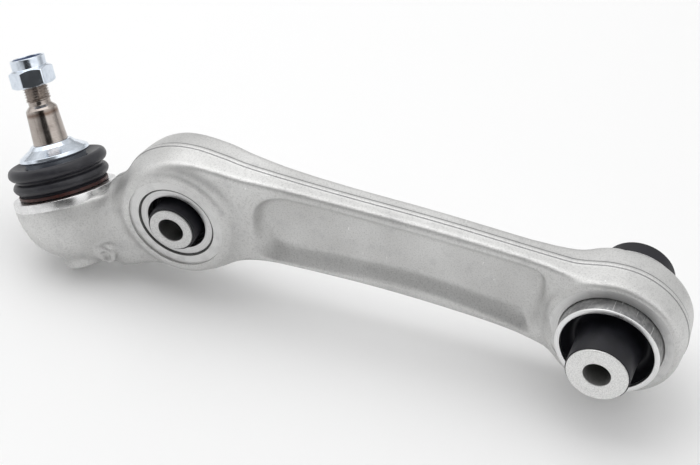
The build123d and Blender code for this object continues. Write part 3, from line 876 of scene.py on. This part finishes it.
def build_boot():
    """The boot in two lengths that meet at its waist."""
    waist = 22.3
    lower_outside = curve_through([(24.4, 14.3), (24.75, 15.1), (26.3, 16.2), (27.4, 18.4), (26.5, 20.6),
                                   (24.9, 21.6), (24.55, waist)], 6)
    lower_inside = curve_through([(23.0, waist), (23.3, 21.3), (25.0, 19.9), (25.6, 18.4), (24.8, 16.8),
                                  (23.55, 15.6)], 6)
    foot = rounded([(23.52, 15.2, 0), (23.52, 11.92, 0.15), (24.4, 11.92, 0.25), (24.4, 14.0, 0)],
                   closed=False)
    upper_outside = curve_through([(24.55, waist), (24.9, 23.0), (26.6, 23.6), (28.0, 25.2), (28.15, 27.2),
                                   (27.2, 29.2), (25.3, 30.05), (23.4, 29.6), (21.0, 28.8), (19.4, 28.4)], 6)
    lip = rounded([(18.6, 28.15, 0.3), (17.75, 28.0, 0.25), (17.75, 25.0, 0.2), (19.3, 25.0, 0.2),
                   (19.3, 26.9, 0.3)], closed=False)
    upper_inside = curve_through([(21.2, 27.5), (24.0, 28.2), (25.9, 27.7), (26.5, 26.4), (25.8, 24.8),
                                  (23.9, 23.8), (23.0, waist)], 6)
    lower = lathe("dust_boot_lower", np.vstack([foot, lower_outside, lower_inside]), ball_place, 192)
    upper = lathe("dust_boot_upper", np.vstack([upper_outside, lip, upper_inside]), ball_place, 192)
    return lower, upper


def build_lower_clamp():
    """The flat ring that holds the boot's foot on the housing."""
    outline = rounded([(24.72, 12.2, 0.2), (25.6, 12.2, 0.3), (25.6, 14.0, 0.3), (24.72, 14.0, 0.2)])
    return lathe("boot_lower_clamp_band", outline, ball_place, 192)


# ---------------- bushes
def tube(name, place, outside, inside, half, edge):
    """A tube with rounded ends."""
    outline = rounded([(inside, -half, edge), (outside, -half, edge),
                       (outside, half, edge), (inside, half, edge)])
    return lathe(name, outline, place)


def build_inner_rubber():
    """The big bush's rubber: a funnel in each end, and a sheath over the inner sleeve."""
    wall = inner_shell_inside - skin_gap
    front = curve_through([(16.85, -30), (16.9, -22), (17.5, -16.8), (19.3, -14.4), (21.6, -15.6),
                           (23.6, -19.4), (wall, -21.6)], 6)
    sheath = 19.8
    rear = curve_through([(wall, 21.6), (23.6, 18.6), (22.6, 17.9), (21.0, 18.6), (19.9, 22.0),
                          (sheath, 30)], 6)
    front_end = rounded([(16.24, -41.5, 0), (16.8, -41.5, 0.3), (16.8, -31, 0)], closed=False)
    rear_end = rounded([(sheath, 31, 0), (sheath, 41.5, 1.2), (16.24, 41.5, 0)], closed=False)
    return lathe("inner_bush_rubber_moulded", np.vstack([front_end, front, rear, rear_end]), inner_place)


def build_damper_rubber():
    """The damper bush's rubber: recessed between the sleeves, with a thin cuff over the inner one."""
    wall = damper_shell_inside - skin_gap
    front = curve_through([(13.8, -14), (14.0, -11.6), (15.2, -9.8), (16.2, -10.6), (wall, -12)], 6)
    rear = [(radius, -height) for radius, height in front[::-1]]
    front_end = rounded([(12.64, -24.2, 0), (13.8, -24.2, 0.4), (13.8, -15, 0)], closed=False)
    rear_end = [(radius, -height) for radius, height in front_end[::-1]]
    return lathe("damper_bush_rubber_moulded", np.vstack([front_end, front, rear, rear_end]), damper_place)


def paint_node(name, material):
    """Gives a CAD node that is kept its material."""
    mesh = frame["nodes"][name].data
    mesh.materials.clear()
    mesh.materials.append(material)


# ---------------- assembly
aluminium = forged_aluminium()
forging = build_forging()
mark_milled_faces(forging)
forging.data.materials.append(aluminium)
forging.data.materials.append(machined_aluminium("machined_inner_face", (0, 0, 0), (1, 0, 1)))
forging.data.materials.append(machined_aluminium("machined_damper_face", damper_centre, (1, 0, 1), 0.25))
finish_piece(forging, "arm", None, "forged_aluminium", "arm_forging")
rim_metal = turned_metal("machined_rim", ball_place, (0.8, 0.8, 0.8), (0.52, 0.52, 0.52), 0.25, 0.45, 0.02)
finish_piece(build_housing_rim(), "arm", rim_metal, "forged_aluminium", "arm_forging")

zinc = zinc_plate()
finish_piece(build_stud(), "stud", stud_steel(), "stud_steel", "ball_stud")
finish_piece(build_collar(), "stud", zinc, "zinc_plate", "dust_collar")
finish_piece(build_nut(), "stud", zinc, "zinc_plate", "stud_nut")

boot_rubber = moulded_rubber("boot_rubber", (0.019, 0.019, 0.024), (0.06, 0.061, 0.072), 0.38, 0.012)
boot_lower, boot_upper = build_boot()
for half_boot in (boot_lower, boot_upper):
    half_boot.data.materials.append(boot_rubber)
    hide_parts("dust_boot")


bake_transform(boot_lower)
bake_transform(boot_upper)
finish_piece(build_lower_clamp(), "arm", brown_coating(), "brown_ring_steel", "boot_lower_clamp_ring")

bush_rubber = moulded_rubber("bush_rubber", (0.006, 0.006, 0.009), (0.022, 0.021, 0.032), 0.46, 0.015)
inner_shell = tube("inner_bush_shell", inner_place, inner_bore - skin_gap, inner_shell_inside,
                   inner_shell_half, 0.7)
inner_steel = shell_steel("inner_shell_steel", inner_place, inner_shell_half, inner_bore, 0.9)
finish_piece(inner_shell, "arm", inner_steel, "bush_shell_steel", "inner_bush_outer_sleeve")
finish_piece(build_inner_rubber(), "arm", bush_rubber, "bush_rubber", "inner_bush_rubber")
inner_tube = tube("inner_bush_tube", inner_place, inner_tube_radius, bolt_hole_radius, inner_tube_half, 0.7)
tube_end = sawn_end("tube_aluminium", inner_place, (0.88, 0.88, 0.87), (0.6, 0.6, 0.595),
                    inner_tube_half, 0.5)
finish_piece(inner_tube, "inner_sleeve", tube_end, "tube_aluminium", "inner_bush_inner_sleeve")

damper_shell = tube("damper_bush_shell", damper_place, damper_bore - skin_gap, damper_shell_inside,
                    damper_shell_half, 0.8)
damper_steel = shell_steel("damper_shell_steel", damper_place, damper_shell_half, damper_bore, 0.66)
finish_piece(damper_shell, "arm", damper_steel, "bush_shell_steel", "damper_bush_outer_sleeve")
finish_piece(build_damper_rubber(), "arm", bush_rubber, "bush_rubber", "damper_bush_rubber")
damper_tube = tube("damper_bush_tube", damper_place, damper_tube_radius, bolt_hole_radius,
                   damper_tube_half, 0.8)
steel_end = sawn_end("tube_steel", damper_place, (0.66, 0.66, 0.655), (0.4, 0.4, 0.4), damper_tube_half, 0.36)
finish_piece(damper_tube, "damper_sleeve", steel_end, "tube_steel", "damper_bush_inner_sleeve")

ring_steel = turned_metal("ring_steel", ball_place, (0.45, 0.45, 0.46), (0.3, 0.3, 0.3), 0.3, 0.4, 0.01)
paint_node("race_retaining_ring", ring_steel)
paint_node("boot_upper_clamp_ring", ring_steel)
paint_node("ball_race", moulded_plastic("race_plastic", (0.8, 0.78, 0.72), 0.35))
paint_node("nut_locking_insert", moulded_plastic("nylon", (0.05, 0.08, 0.2), 0.5))


# ---------------- floor, lights and camera
def build_floor():
    """A large pale floor just under the lowest point."""
    half = 3.0
    gap = 0.5 * MM
    level = cad_box[0][2] - gap
    mesh = bpy.data.meshes.new("floor")
    corners = [(-half, -half, level), (half, -half, level), (half, half, level), (-half, half, level)]
    mesh.from_pydata(corners, [], [(0, 1, 2, 3)])
    floor = object_from("floor", mesh)
    material = bpy.data.materials.new("floor_pale")
    material.use_nodes = True
    shader = material.node_tree.nodes["Principled BSDF"]
    shader.inputs["Base Color"].default_value = (0.93, 0.93, 0.93, 1)
    shader.inputs["Roughness"].default_value = 0.9
    floor.data.materials.append(material)


def add_area_light(name, place, target, size, power):
    """A square soft white light that faces a target."""
    lamp = bpy.data.lights.new(name, "AREA")
    lamp.shape = "SQUARE"
    lamp.size = size
    lamp.energy = power
    light = bpy.data.objects.new(name, lamp)
    bpy.context.scene.collection.objects.link(light)
    light.location = place
    light.rotation_euler = (Vector(target) - Vector(place)).to_track_quat("-Z", "Y").to_euler()


def build_camera():
    """The main viewpoint: above, in front and to the right of the arm."""
    lens = bpy.data.cameras.new("camera")
    lens.sensor_width = 36
    lens.lens = 92.8
    camera = bpy.data.objects.new("camera", lens)
    bpy.context.scene.collection.objects.link(camera)
    forward = Vector((-0.2837, 0.7090, -0.6457)).normalized()
    right = Vector((0.9306, 0.3661, -0.0069)).normalized()
    up = right.cross(forward)
    rotation = Matrix((right, up, -forward)).transposed().to_4x4()
    camera.matrix_world = Matrix.Translation(Vector((0.1240, -0.6806, 0.6344))) @ rotation
    bpy.context.scene.camera = camera


def build_world():
    """A white studio: bright overhead, dimmer low down and behind, with two dark screens in front."""
    world = bpy.data.worlds.new("studio")
    bpy.context.scene.world = world
    world.use_nodes = True
    direction = add_node(world, "ShaderNodeTexCoord", {}).outputs["Generated"]
    parts = add_node(world, "ShaderNodeSeparateXYZ", {"Vector": direction}).outputs
    colour = ramp(world, parts["Z"], [(0.0, 0.5), (0.35, 0.9), (0.8, 1.0)])
    behind = ramp(world, parts["Y"], [(0.1, 1.0), (0.6, 0.6)])
    colour = mixed(world, 1.0, colour, behind, "MULTIPLY")
    screens = (((0.456, -0.856, 0.245), [(0.89, 1.0), (0.93, 0.05)]),
               ((-0.2, -0.66, 0.72), [(0.76, 1.0), (0.9, 0.16)]))
    for way, stops in screens:
        inputs = {0: direction, 1: Vector(way).normalized()}
        towards = add_node(world, "ShaderNodeVectorMath", inputs, operation="DOT_PRODUCT")
        screen = ramp(world, towards.outputs["Value"], stops)
        colour = mixed(world, 1.0, colour, screen, "MULTIPLY")
    background = world.node_tree.nodes["Background"]
    world.node_tree.links.new(colour, background.inputs["Color"])
    background.inputs["Strength"].default_value = 1.36


build_floor()
build_camera()
middle = (cad_box[0] + cad_box[1]) / 2
add_area_light("soft_top", middle + Vector((-0.35, 0.25, 1.1)), middle, 1.2, 4)
build_world()
bpy.context.scene.view_settings.view_transform = "Standard"
